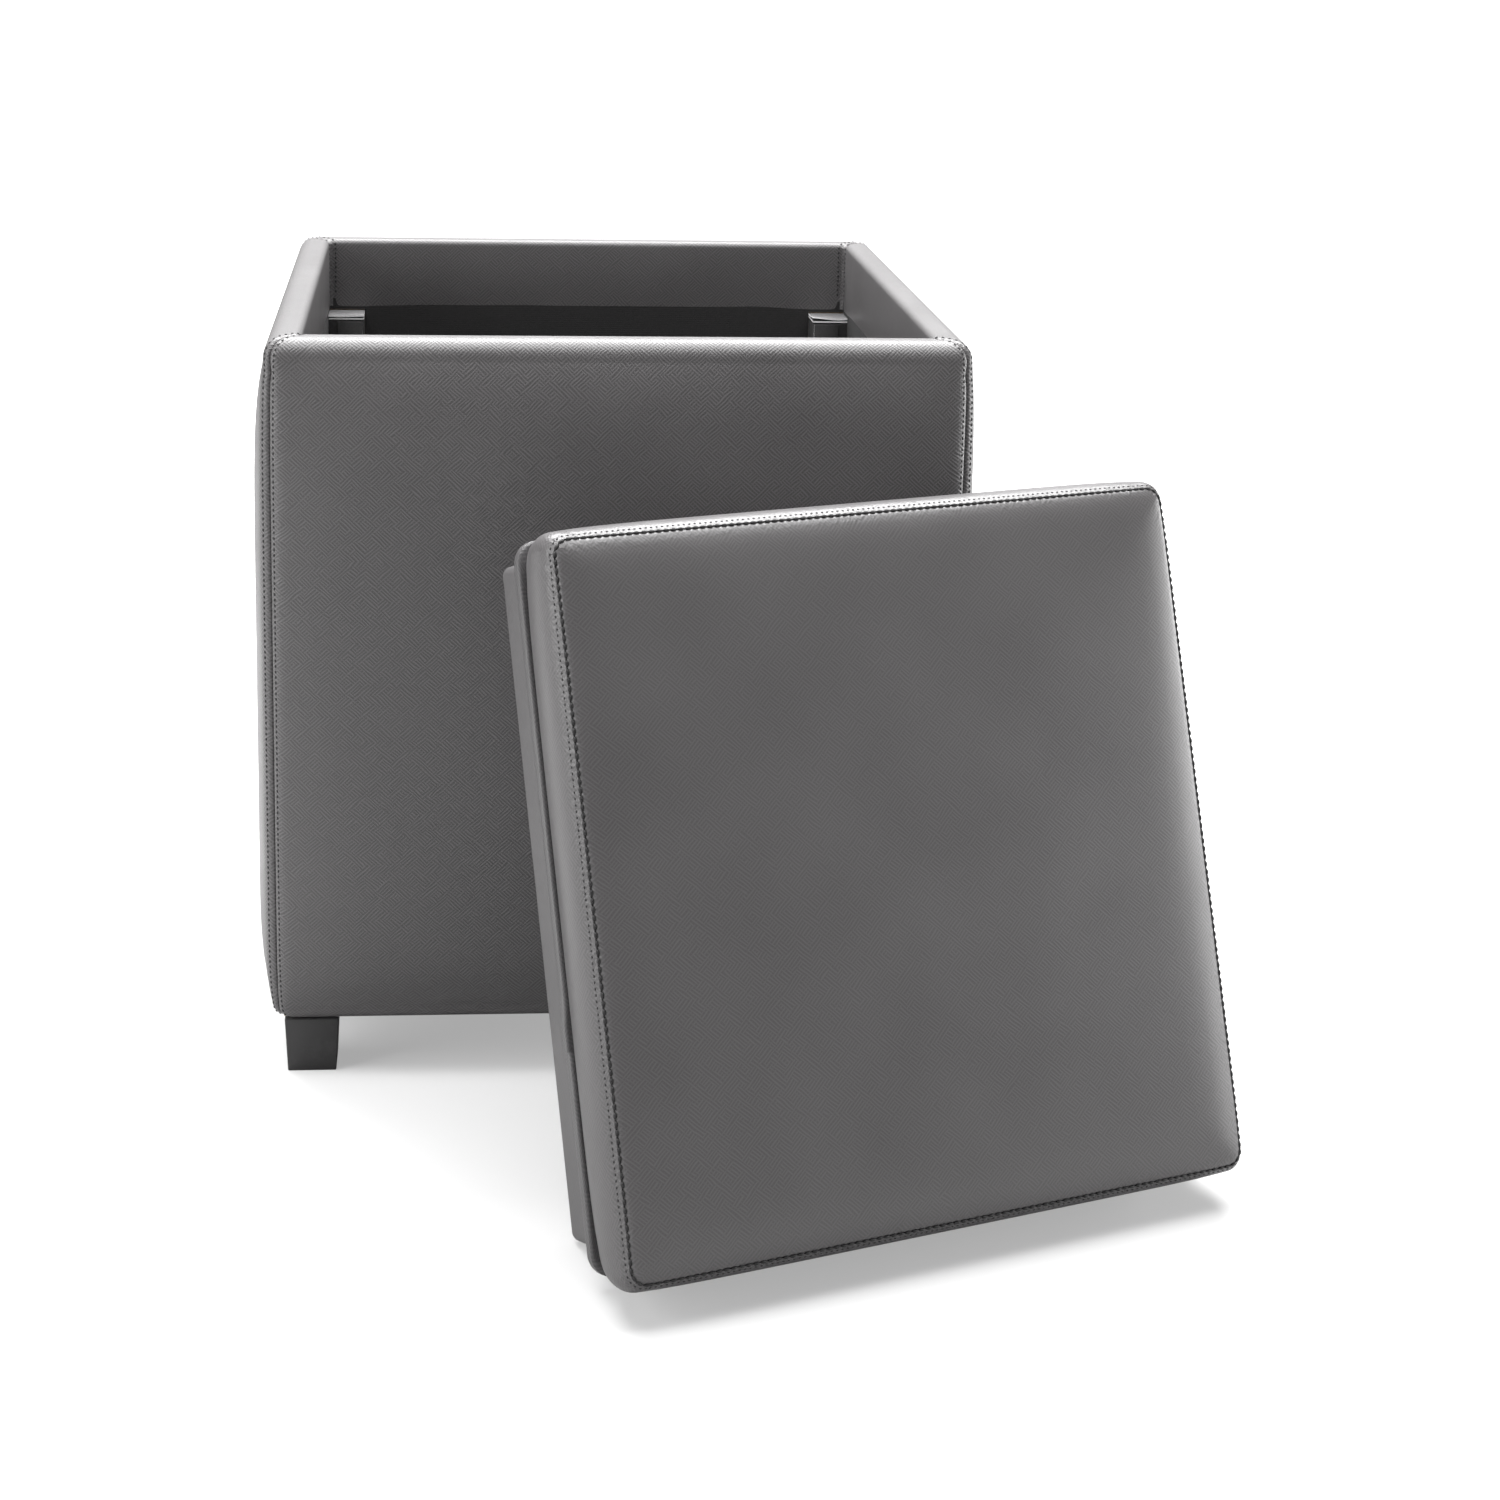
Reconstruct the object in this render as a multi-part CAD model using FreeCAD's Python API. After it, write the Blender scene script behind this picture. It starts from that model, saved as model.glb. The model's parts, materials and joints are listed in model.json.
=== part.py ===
"""Square storage ottoman, 380 mm wide: a padded open box on four block feet, with its lid off.

The box is four boards around four corner posts, on a bottom board. Thin foam pads lie outside the
boards and over their top edges. Four vinyl panels cover the pads, turn over the rim and end inside
as a band. The lid is a cushion on a wrapped board. A square frame under it, the plug, drops into
the mouth and rests on the four post caps.

The lid stands on the floor and leans on the box's front right corner. The origin is on the floor,
under the middle of the whole arrangement. +Z is up and -Y is the front. All sizes are in mm.
"""
import FreeCAD, Part
import math
import os

V = FreeCAD.Vector

# the box
WIDTH = 380.0          # outside, over the covers, both ways
FOOT_HEIGHT = 33.0
BODY_HEIGHT = 387.0    # covers, from the turned-under bottom edge to the rim
RIM_DEPTH = 20.0       # cover + foam + board + cover, seen from above
VINYL = 1.2            # thickness of the cover material
BOARD = 12.0
CORNER_RADIUS = 10.0   # upright corners of the covered box
EDGE_RADIUS = 11.0     # outer edge of the rim
UNDER_RADIUS = 7.0     # where the covers turn under the box
BAND_DROP = 43.0       # how far the covers turn down inside
POST = 24.0
LINING = 0.8
SEAM_GAP = 0.3         # between neighbouring cover panels

# the lid, in its own frame: origin in the middle of the plane that rests on the rim, +Z up
LID_WIDTH = 344.0      # over the wrapped base board, across
LID_LONGER = 6.0       # the lid is this much longer each way from its middle than it is wide
LID_BOARD = 4.8
CUSHION_WIDTH = 348.0
CUSHION_HEIGHT = 46.0
PLUG_WIDTH = 326.0
PLUG_DEPTH = 45.0
RAIL = 15.0
LID_CORNER = 12.0

# how the lid leans
LEAN = math.radians(19.1)       # from upright
TURN = math.radians(18.7)       # its face is turned to the right of straight ahead
LID_SIDEWAYS = 13.0            # middle of the lid, along its lower edge, from the box's centre
LEAN_GAP = 0.4                  # to the box's corner

HALF = WIDTH / 2
RIM = FOOT_HEIGHT + BODY_HEIGHT
FOAM = RIM_DEPTH - BOARD - 2 * VINYL
BOARD_OUT = HALF - VINYL - FOAM         # outer faces of the boards
BOARD_IN = BOARD_OUT - BOARD            # inner faces of the boards
INNER = HALF - RIM_DEPTH                # inner face of the band
BOARD_LOW = FOOT_HEIGHT + VINYL
BOARD_TOP = RIM - VINYL - FOAM
FLOOR_TOP = BOARD_LOW + BOARD
BAND_LOW = RIM - BAND_DROP
CAP_TOP = RIM - PLUG_DEPTH - 1.5
CAP = 3.0
SIDES = ("front", "right", "back", "left")
CORNERS = {"front_left": (-1, -1), "front_right": (1, -1), "back_left": (-1, 1), "back_right": (1, 1)}

box_parts = {}
lid_parts = {}


def block(x0, x1, y0, y1, z0, z1):
    """A plain block between two corners."""
    return Part.makeBox(x1 - x0, y1 - y0, z1 - z0, V(x0, y0, z0))


def slab(half, z0, z1, radius=0.0, longer=0.0):
    """A slab about the Z axis with rounded upright corners: square, or longer each way along Y."""
    body = block(-half, half, -half - longer, half + longer, z0, z1)
    if radius > 0:
        upright = [e for e in body.Edges if abs(e.tangentAt(e.FirstParameter).z) > 0.9]
        body = body.makeFillet(radius, upright)
    return body


def round_level(body, z, radius):
    """Rounds every edge of a body that lies in the plane at height z."""
    edges = [e for e in body.Edges if abs(e.BoundBox.ZMin - z) < 0.01 and abs(e.BoundBox.ZMax - z) < 0.01]
    return body.makeFillet(radius, edges)


def padded_block(inset):
    """The covered box as one solid, drawn in by inset on every face."""
    body = slab(HALF - inset, FOOT_HEIGHT + inset, RIM - inset, CORNER_RADIUS - inset)
    body = round_level(body, RIM - inset, EDGE_RADIUS - inset)
    return round_level(body, FOOT_HEIGHT + inset, UNDER_RADIUS - inset)


def turned(shape, side):
    """Turns a shape made for the front to another side of the box."""
    copy = shape.copy()
    copy.rotate(V(0, 0, 0), V(0, 0, 1), 90.0 * SIDES.index(side))
    return copy


def lid_slab(half, z0, z1, radius=0.0):
    """A slab with the lid's outline: half is half of its width."""
    return slab(half, z0, z1, radius, LID_LONGER)


def on_lid(shape, side):
    """Turns a shape made for the front of a square lid to another side and moves it out to that side."""
    copy = turned(shape, side)
    out = {"front": -LID_LONGER, "back": LID_LONGER}
    copy.translate(V(0, out.get(side, 0.0), 0))
    return copy


def wedge(gap):
    """The front quarter of the box seen from above, cut back along both diagonals by half the gap."""
    back = gap / math.sqrt(2)
    far = 2 * WIDTH
    points = [V(0, -back, 0), V(-far, -far - back, 0), V(far, -far - back, 0), V(0, -back, 0)]
    face = Part.Face(Part.makePolygon(points))
    return face.extrude(V(0, 0, 2 * RIM))


def screw(length, shank, head, sink):
    """A countersunk screw pointing down, with the top of its head in the plane z = 0."""
    body = Part.makeCylinder(shank / 2, length, V(0, 0, -length))
    return body.fuse(Part.makeCone(shank / 2, head / 2, sink, V(0, 0, -sink)))


def staple(x, y, z, leg):
    """A wire staple: the crown lies under the plane at height z and the legs go up."""
    crown, wire = 10.0, 1.0
    body = block(-crown / 2, crown / 2, -wire / 2, wire / 2, z - wire, z)
    for end in (-1, 1):
        middle = end * (crown - wire) / 2
        body = body.fuse(block(middle - wire / 2, middle + wire / 2, -wire / 2, wire / 2, z - wire, z + leg))
    body.translate(V(x, y, 0))
    return body


def boards():
    """Front and back boards run the full width. The side boards stand between them."""
    long_board = block(-BOARD_OUT, BOARD_OUT, -BOARD_OUT, -BOARD_IN, BOARD_LOW, BOARD_TOP)
    short_board = block(-BOARD_IN, BOARD_IN, -BOARD_OUT, -BOARD_IN, BOARD_LOW, BOARD_TOP)
    for side in SIDES:
        shape = long_board if side in ("front", "back") else short_board
        box_parts[side + "_board"] = turned(shape, side)
    box_parts["bottom_board"] = slab(BOARD_IN, BOARD_LOW, FLOOR_TOP)


def corner_posts():
    """A square post stands in each inner corner, with a folded cloth cap that the lid rests on."""
    for name, (sx, sy) in CORNERS.items():
        xs = sorted((sx * BOARD_IN, sx * (BOARD_IN - POST)))
        ys = sorted((sy * BOARD_IN, sy * (BOARD_IN - POST)))
        box_parts["corner_post_" + name] = block(*xs, *ys, FLOOR_TOP, CAP_TOP - CAP)
        box_parts["post_cap_" + name] = block(*xs, *ys, CAP_TOP - CAP, CAP_TOP)


def foam_pads():
    """Foam lies on the outside of each board and turns over its top edge."""
    ring = padded_block(VINYL).cut(slab(BOARD_IN, BOARD_LOW, RIM)).cut(slab(BOARD_OUT, BOARD_LOW, BOARD_TOP))
    for side in SIDES:
        box_parts[side + "_foam_pad"] = ring.common(turned(wedge(SEAM_GAP), side))


def covers():
    """Each vinyl panel runs from under the box, up the outside, over the rim and down as a band."""
    shell = padded_block(0.0).cut(padded_block(VINYL))
    shell = shell.cut(slab(INNER, FOOT_HEIGHT - 1, RIM + 1))
    band = slab(BOARD_IN, BAND_LOW, RIM - VINYL).cut(slab(INNER, BAND_LOW - 1, RIM + 1))
    shell = shell.fuse(band)
    for side in SIDES:
        box_parts[side + "_cover"] = shell.common(turned(wedge(SEAM_GAP), side))


def lining():
    """Thin black cloth lies on the boards between the posts, below the band, and on the bottom."""
    span = BOARD_IN - POST
    strip = block(-span, span, -BOARD_IN, -BOARD_IN + LINING, FLOOR_TOP + LINING, BAND_LOW)
    for side in SIDES:
        box_parts[side + "_lining"] = turned(strip, side)
    sheet = slab(BOARD_IN, FLOOR_TOP, FLOOR_TOP + LINING)
    for sx, sy in CORNERS.values():
        xs = sorted((sx * BOARD_IN, sx * span))
        ys = sorted((sy * BOARD_IN, sy * span))
        sheet = sheet.cut(block(*xs, *ys, FLOOR_TOP, FLOOR_TOP + LINING))
    box_parts["floor_lining"] = sheet
    box_parts["underside_cloth"] = slab(INNER - 0.4, BOARD_LOW - LINING, BOARD_LOW)


def feet():
    """Tapered square blocks with rounded lower edges, each on a stud that goes up into its post."""
    top, foot, inset = 30.0, 27.0, 7.0
    stud_radius, stud_low, stud_high, stud_inset = 4.0, 9.0, 76.0, 10.0
    lower = Part.makePolygon([V(x * foot / 2, y * foot / 2, 0) for x, y in
                              ((-1, -1), (1, -1), (1, 1), (-1, 1), (-1, -1))])
    upper = Part.makePolygon([V(x * top / 2, y * top / 2, FOOT_HEIGHT) for x, y in
                              ((-1, -1), (1, -1), (1, 1), (-1, 1), (-1, -1))])
    blank = round_level(Part.makeLoft([lower, upper], True, True), 0.0, 1.5)
    studs = []
    middle = HALF - inset - top / 2
    for name, (sx, sy) in CORNERS.items():
        place = V(sx * middle, sy * middle, 0)
        shape = blank.copy()
        shape.translate(place)
        axis = V(sx * (BOARD_IN - stud_inset), sy * (BOARD_IN - stud_inset), stud_low)
        stud = Part.makeCylinder(stud_radius, stud_high - stud_low, axis)
        box_parts["foot_" + name] = shape.cut(stud)
        box_parts["corner_post_" + name] = box_parts["corner_post_" + name].cut(stud)
        studs.append(stud)
    for node in ("bottom_board", "underside_cloth"):
        for stud in studs:
            box_parts[node] = box_parts[node].cut(stud)
    box_parts["foot_studs"] = Part.makeCompound(studs)


def panel_screws():
    """Three screws through each end of each board hold it to the post behind."""
    length, shank, head, sink = 30.0, 3.5, 7.0, 2.0
    heights = [BOARD_LOW + 60.0, (BOARD_LOW + CAP_TOP) / 2, CAP_TOP - 40.0]
    across = BOARD_IN - POST / 2
    screws = []
    for side in SIDES:
        rise = 0.0 if side in ("front", "back") else 14.0
        group = []
        for end in (-1, 1):
            for z in heights:
                one = screw(length, shank, head, sink)
                one.rotate(V(0, 0, 0), V(1, 0, 0), 90)
                one.translate(V(end * across, -BOARD_OUT, z + rise))
                group.append(turned(one, side))
        for one in group:
            box_parts[side + "_board"] = box_parts[side + "_board"].cut(one)
            for name in CORNERS:
                post = box_parts["corner_post_" + name]
                if post.BoundBox.intersect(one.BoundBox):
                    box_parts["corner_post_" + name] = post.cut(one)
        screws += group
    box_parts["panel_screws"] = Part.makeCompound(screws)


def bottom_staples():
    """A row of staples along each side holds the turned-under covers to the boards."""
    count, leg = 7, 8.0
    pitch = 2 * (BOARD_IN - 36.0) / (count - 1)
    row = [staple((i - (count - 1) / 2) * pitch, -(BOARD_OUT - 5.0), FOOT_HEIGHT, leg)
           for i in range(count)]
    staples = []
    for side in SIDES:
        for one in row:
            placed = turned(one, side)
            for node in ("_cover", "_board"):
                box_parts[side + node] = box_parts[side + node].cut(placed)
            staples.append(placed)
    box_parts["bottom_staples"] = Part.makeCompound(staples)


def lid_base():
    """The lid's board, its edge wrapped in a strip of vinyl that also turns under it."""
    half = LID_WIDTH / 2
    lid_parts["lid_board"] = lid_slab(half - VINYL, VINYL, VINYL + LID_BOARD, LID_CORNER - VINYL)
    wrap = lid_slab(half, 0, VINYL + LID_BOARD, LID_CORNER)
    wrap = wrap.cut(lid_slab(half - VINYL, VINYL, VINYL + LID_BOARD, LID_CORNER - VINYL))
    lid_parts["lid_base_band"] = wrap.cut(lid_slab(half - VINYL - 20.0, 0, VINYL))


def lid_cushion():
    """A foam block under a vinyl top panel, with a boxing strip sewn round its sides."""
    half = CUSHION_WIDTH / 2
    low = VINYL + LID_BOARD
    high = low + CUSHION_HEIGHT
    core = lid_slab(half - VINYL, low, high, LID_CORNER - VINYL)
    lid_parts["lid_foam"] = core
    lid_parts["lid_boxing"] = lid_slab(half, low, high, LID_CORNER).cut(core)
    lid_parts["lid_top_panel"] = round_level(lid_slab(half, high, high + VINYL, LID_CORNER), high + VINYL, 1.0)


def plug():
    """A frame of rails under the lid board, wrapped in vinyl and closed with thin cloth."""
    half = PLUG_WIDTH / 2
    inner = half - VINYL - RAIL
    long_rail = block(-(half - VINYL), half - VINYL, -(half - VINYL), -inner, VINYL - PLUG_DEPTH, 0)
    side_length = inner + LID_LONGER
    side_rail = block(-side_length, side_length, -(half - VINYL), -inner, VINYL - PLUG_DEPTH, 0)
    corners = lid_slab(half - VINYL, -PLUG_DEPTH, 0, 5.0)
    for side in SIDES:
        shape = long_rail if side in ("front", "back") else side_rail
        lid_parts["plug_rail_" + side] = on_lid(shape, side).common(corners)
    wrap = lid_slab(half, -PLUG_DEPTH, 0, 5.0 + VINYL).cut(lid_slab(half - VINYL, VINYL - PLUG_DEPTH, 0, 5.0))
    lid_parts["plug_cover"] = wrap.cut(lid_slab(inner, -PLUG_DEPTH, VINYL - PLUG_DEPTH))
    lid_parts["lid_underside_cloth"] = lid_slab(half - 8.0, -PLUG_DEPTH - LINING, -PLUG_DEPTH)


def lid_fixings():
    """Screws through the lid board into the rails, and staples through the underside cloth."""
    half = PLUG_WIDTH / 2
    middle = half - VINYL - RAIL / 2
    screws = []
    for side in SIDES:
        for x in (-100.0, 0.0, 100.0):
            one = screw(28.0, 3.5, 7.0, 2.0)
            one.translate(V(x, -middle, VINYL + LID_BOARD))
            one = on_lid(one, side)
            for node in ("lid_board", "plug_rail_" + side, "lid_base_band"):
                lid_parts[node] = lid_parts[node].cut(one)
            screws.append(one)
    lid_parts["lid_screws"] = Part.makeCompound(screws)
    staples = []
    for side in SIDES:
        for i in range(6):
            one = on_lid(staple((i - 2.5) * 50.0, -(half - 12.0), -PLUG_DEPTH - LINING, 8.0), side)
            for node in ("lid_underside_cloth", "plug_cover", "plug_rail_" + side):
                lid_parts[node] = lid_parts[node].cut(one)
            staples.append(one)
    lid_parts["lid_staples"] = Part.makeCompound(staples)


def lean_lid():
    """Stands the lid on its plug's lower edge, with the plug's upper edge near the box's corner."""
    reach = PLUG_WIDTH / 2 + LID_LONGER
    depth = PLUG_DEPTH
    corner = HALF - CORNER_RADIUS
    corner_ahead = corner * (math.sin(TURN) + math.cos(TURN))
    ahead = corner_ahead + CORNER_RADIUS + LEAN_GAP + reach * math.sin(LEAN) + depth * math.cos(LEAN)
    up = reach * math.cos(LEAN) + depth * math.sin(LEAN)
    x = LID_SIDEWAYS * math.cos(TURN) + ahead * math.sin(TURN)
    y = LID_SIDEWAYS * math.sin(TURN) - ahead * math.cos(TURN)
    for shape in lid_parts.values():
        shape.rotate(V(0, 0, 0), V(1, 0, 0), 90 - math.degrees(LEAN))
        shape.rotate(V(0, 0, 0), V(0, 0, 1), math.degrees(TURN))
        shape.translate(V(x, y, up))


boards()
corner_posts()
foam_pads()
covers()
lining()
feet()
panel_screws()
bottom_staples()
lid_base()
lid_cushion()
plug()
lid_fixings()
lean_lid()

# the origin moves to the floor under the middle of everything
whole = Part.makeCompound(list(box_parts.values()) + list(lid_parts.values())).BoundBox
os.makedirs("parts", exist_ok=True)
for node, piece in {**box_parts, **lid_parts}.items():
    piece.translate(V(-whole.Center.x, -whole.Center.y, 0))
    piece.exportStep("parts/" + node + ".step")
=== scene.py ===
import json
import math
import bpy
from mathutils import Matrix, Vector, noise


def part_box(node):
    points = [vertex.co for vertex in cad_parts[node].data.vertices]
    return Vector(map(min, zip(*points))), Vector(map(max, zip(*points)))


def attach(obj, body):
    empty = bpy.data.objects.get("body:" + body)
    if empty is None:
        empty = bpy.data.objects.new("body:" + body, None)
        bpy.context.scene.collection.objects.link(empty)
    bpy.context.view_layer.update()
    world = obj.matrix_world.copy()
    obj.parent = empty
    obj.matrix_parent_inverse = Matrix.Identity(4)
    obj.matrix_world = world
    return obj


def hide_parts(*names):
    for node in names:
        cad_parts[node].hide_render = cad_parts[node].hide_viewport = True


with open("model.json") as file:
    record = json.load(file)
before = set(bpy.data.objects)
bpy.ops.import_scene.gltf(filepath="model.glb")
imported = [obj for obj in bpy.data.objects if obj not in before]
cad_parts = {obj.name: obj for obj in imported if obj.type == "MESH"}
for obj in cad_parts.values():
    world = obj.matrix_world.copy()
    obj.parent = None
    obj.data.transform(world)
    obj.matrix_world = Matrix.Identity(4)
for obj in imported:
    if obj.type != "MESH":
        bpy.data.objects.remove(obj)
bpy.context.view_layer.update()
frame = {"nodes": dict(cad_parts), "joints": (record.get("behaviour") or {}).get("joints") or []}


# ---- Where the box and the lid are
# The box stands square to the row. Its middle is the middle of the bottom board.
# The lid is built square and flat on a bench, then leaned: its own up is the way it is lifted
# off. The last matrix makes it a little longer than it is wide, like its board.
board_low, board_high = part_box("bottom_board")
box_middle = (board_low + board_high) / 2
box_middle.z = 0.0
cover_low, cover_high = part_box("front_cover")
half = (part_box("right_cover")[1].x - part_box("left_cover")[0].x) / 2
under, rim = cover_low.z, cover_high.z
band_inner = half - (cover_high.y - cover_low.y)
band_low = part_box("front_lining")[1].z

lid_up = Vector(frame["joints"][0]["axis"]).normalized()
lid_right = Vector((-lid_up.y, lid_up.x, 0.0)).normalized()
lid_back = lid_up.cross(lid_right)
lid_board_low, lid_board_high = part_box("lid_board")
vinyl_thick = 0.0012
lid_board_middle = vinyl_thick + 0.0024
lid_origin = (lid_board_low + lid_board_high) / 2 - lid_up * lid_board_middle
lid_place = Matrix((lid_right, lid_back, lid_up)).transposed().to_4x4()
lid_place.translation = lid_origin
lid_place = lid_place @ Matrix.Diagonal((0.9879, 1.0230, 1.0, 1.0))


# ---- Material helpers
# Short ways to write the nodes that the materials share: maths, noise, ranges, two tones and bump.
# Each takes a node tree, and numbers or sockets of it.
def math_node(tree, operation, first, second=None):
    """A Math node with each input a number or a socket."""
    node = tree.nodes.new("ShaderNodeMath")
    node.operation = operation
    for socket, value in zip(node.inputs, (first, second)):
        if value is None:
            continue
        if isinstance(value, (int, float)):
            socket.default_value = value
        else:
            tree.links.new(value, socket)
    return node.outputs[0]


def noise_node(tree, vector, scale, detail=2.0, roughness=0.5, distortion=0.0):
    """A Noise Texture's value on a vector socket."""
    node = tree.nodes.new("ShaderNodeTexNoise")
    node.inputs["Scale"].default_value = scale
    node.inputs["Detail"].default_value = detail
    node.inputs["Roughness"].default_value = roughness
    node.inputs["Distortion"].default_value = distortion
    tree.links.new(vector, node.inputs["Vector"])
    return node.outputs[0]


def remap(tree, value, low, high, to_low=0.0, to_high=1.0):
    """Map Range, clamped."""
    node = tree.nodes.new("ShaderNodeMapRange")
    tree.links.new(value, node.inputs[0])
    for index, number in enumerate((low, high, to_low, to_high), start=1):
        node.inputs[index].default_value = number
    return node.outputs[0]


def plain_material(name, roughness, metallic=0.0):
    """A new material: its tree, its shader and its Object coordinates."""
    material = bpy.data.materials.new(name)
    material.use_nodes = True
    tree = material.node_tree
    shader = tree.nodes["Principled BSDF"]
    shader.inputs["Roughness"].default_value = roughness
    shader.inputs["Metallic"].default_value = metallic
    return material, tree, shader, tree.nodes.new("ShaderNodeTexCoord").outputs["Object"]


def two_tones(tree, shader, value, dark, light):
    """Base colour that goes from dark to light with a value."""
    tones = tree.nodes.new("ShaderNodeMix")
    tones.data_type = "RGBA"
    tones.inputs[6].default_value = (*dark, 1.0)
    tones.inputs[7].default_value = (*light, 1.0)
    tree.links.new(value, tones.inputs[0])
    tree.links.new(tones.outputs[2], shader.inputs["Base Color"])


def relief(tree, shader, height, distance):
    """Bump from a height of 0 to 1, over a distance in metres."""
    bump = tree.nodes.new("ShaderNodeBump")
    bump.inputs["Distance"].default_value = distance
    tree.links.new(height, bump.inputs["Height"])
    tree.links.new(bump.outputs[0], shader.inputs["Normal"])


# ---- Camera
# A long lens, a little left of the box's middle and above the rim, looking slightly down.
eye = box_middle + Vector((-0.0914, -1.5980, 0.6826))
eye_turn, eye_dip, eye_roll = 0.0855, 0.2346, 0.0218
look = Vector((math.sin(eye_turn) * math.cos(eye_dip), math.cos(eye_turn) * math.cos(eye_dip),
               -math.sin(eye_dip)))
flat_right = Vector((math.cos(eye_turn), -math.sin(eye_turn), 0.0))
flat_up = flat_right.cross(look)
camera_right = flat_right * math.cos(eye_roll) + flat_up * math.sin(eye_roll)
camera_up = flat_up * math.cos(eye_roll) - flat_right * math.sin(eye_roll)
camera_data = bpy.data.cameras.new("camera")
camera_data.sensor_width = 36.0
camera_data.lens = 64.90
camera_data.shift_x = 0.05
camera_data.shift_y = -0.18
camera = bpy.data.objects.new("camera", camera_data)
bpy.context.scene.collection.objects.link(camera)
camera_pose = Matrix((camera_right, camera_up, -look)).transposed().to_4x4()
camera_pose.translation = eye
camera.matrix_world = camera_pose
bpy.context.scene.camera = camera
bpy.context.scene.view_settings.view_transform = "Standard"


# ---- Floor and lights
# A white studio sweep under a row of overhead softboxes, with a tall softbox at each side and
# no light from the camera's side, so tops and edges are bright and the fronts stay dark.
def nothing_selected():
    if bpy.context.object and bpy.context.object.mode != "OBJECT":
        bpy.ops.object.mode_set(mode="OBJECT")
    bpy.ops.object.select_all(action="DESELECT")


def pick(piece):
    """Selects only this piece and makes it active."""
    nothing_selected()
    piece.select_set(True)
    bpy.context.view_layer.objects.active = piece


nothing_selected()
bpy.ops.mesh.primitive_plane_add(size=14.0, location=(box_middle.x, box_middle.y + 1.0, 0.0))
floor = bpy.context.object
floor.name = "studio_floor"
bpy.ops.object.transform_apply(location=True, rotation=True, scale=True)
floor_paint, floor_tree, floor_shader, floor_place = plain_material("studio_floor_paint", 0.9)
floor_shader.inputs["Base Color"].default_value = (0.46, 0.46, 0.46, 1.0)
floor_shader.inputs["Specular IOR Level"].default_value = 0.1
floor_shader.inputs["Emission Color"].default_value = (1.0, 1.0, 1.0, 1.0)
# The floor glows for camera rays only: painted brightness on top of its real lighting, 0.37 near the box
# rising to full white 1.7 m out, so only shadows close to the box show.
floor_reach = floor_tree.nodes.new("ShaderNodeVectorMath")
floor_reach.operation = "LENGTH"
floor_tree.links.new(floor_place, floor_reach.inputs[0])
painted_floor_glow = remap(floor_tree, floor_reach.outputs["Value"], 0.5, 1.7, 0.37, 1.0)
painted_floor_glow.node.interpolation_type = "SMOOTHSTEP"
floor_ray = floor_tree.nodes.new("ShaderNodeLightPath")
floor_tree.links.new(math_node(floor_tree, "MULTIPLY", painted_floor_glow, floor_ray.outputs["Is Camera Ray"]),
                     floor_shader.inputs["Emission Strength"])
floor.data.materials.append(floor_paint)


def softbox(name, place, aim, size, power):
    """An area light at a place relative to the box's middle, facing a point."""
    data = bpy.data.lights.new(name, "AREA")
    data.shape = "RECTANGLE"
    data.size, data.size_y = size
    data.energy = power
    lamp = bpy.data.objects.new(name, data)
    bpy.context.scene.collection.objects.link(lamp)
    lamp.location = box_middle + Vector(place)
    lamp.rotation_mode = "QUATERNION"
    lamp.rotation_quaternion = (Vector(aim) - Vector(place)).to_track_quat("-Z", "Y")


softbox("overhead_softbox", (0.0, 0.30, 2.3), (0.0, 0.0, 0.3), (2.6, 2.2), 95.0)
softbox("overhead_back_softbox", (0.0, 1.1, 2.1), (0.0, 0.0, 0.4), (2.6, 1.4), 130.0)
softbox("overhead_front_softbox", (0.0, -0.75, 2.3), (0.0, 0.0, 0.3), (2.6, 0.6), 34.0)
softbox("left_softbox", (-1.9, -0.7, 0.9), (0.0, 0.0, 0.3), (1.5, 1.5), 38.0)
softbox("right_softbox", (2.1, 0.1, 0.36), (0.0, 0.0, 0.3), (2.6, 0.7), 46.0)
softbox("back_softbox", (0.0, 2.6, 1.0), (0.0, 0.0, 0.4), (3.4, 1.5), 15.0)

world = bpy.data.worlds.new("studio")
bpy.context.scene.world = world
world.use_nodes = True
world_nodes, world_links = world.node_tree.nodes, world.node_tree.links
world_light = world_nodes["Background"]
world_light.inputs["Color"].default_value = (1.0, 1.0, 1.0, 1.0)
world_light.inputs["Strength"].default_value = 0.08
seen_sky = world_nodes.new("ShaderNodeBackground")
seen_sky.inputs["Color"].default_value = (1.0, 1.0, 1.0, 1.0)
seen_sky.inputs["Strength"].default_value = 1.2
which_ray = world_nodes.new("ShaderNodeLightPath")
sky_mix = world_nodes.new("ShaderNodeMixShader")
world_links.new(which_ray.outputs["Is Camera Ray"], sky_mix.inputs[0])
world_links.new(world_light.outputs[0], sky_mix.inputs[1])
world_links.new(seen_sky.outputs[0], sky_mix.inputs[2])
world_links.new(sky_mix.outputs[0], world_nodes["World Output"].inputs["Surface"])


# ---- Grey vinyl
# Imitation leather with a cross-hatch emboss: short fine strokes on both diagonals, a soft
# mottle in the gloss, and puckers where a seam pulls. It reads each panel's own cut, in metres.
cross_hatch = bpy.data.node_groups.new("cross_hatch_emboss", "ShaderNodeTree")
cross_hatch.interface.new_socket("Cut", in_out="INPUT", socket_type="NodeSocketVector")
cross_hatch.interface.new_socket("Stroke", in_out="INPUT", socket_type="NodeSocketFloat").default_value = 1.0
for label in ("Tone", "Relief", "Mottle"):
    cross_hatch.interface.new_socket(label, in_out="OUTPUT", socket_type="NodeSocketFloat")
hatch_in, hatch_out = cross_hatch.nodes.new("NodeGroupInput"), cross_hatch.nodes.new("NodeGroupOutput")
patch = noise_node(cross_hatch, hatch_in.outputs["Cut"], 1.0 / 0.0065, 1.0)
stroke_pitch = 0.0016
strokes, reliefs = [], []
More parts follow.
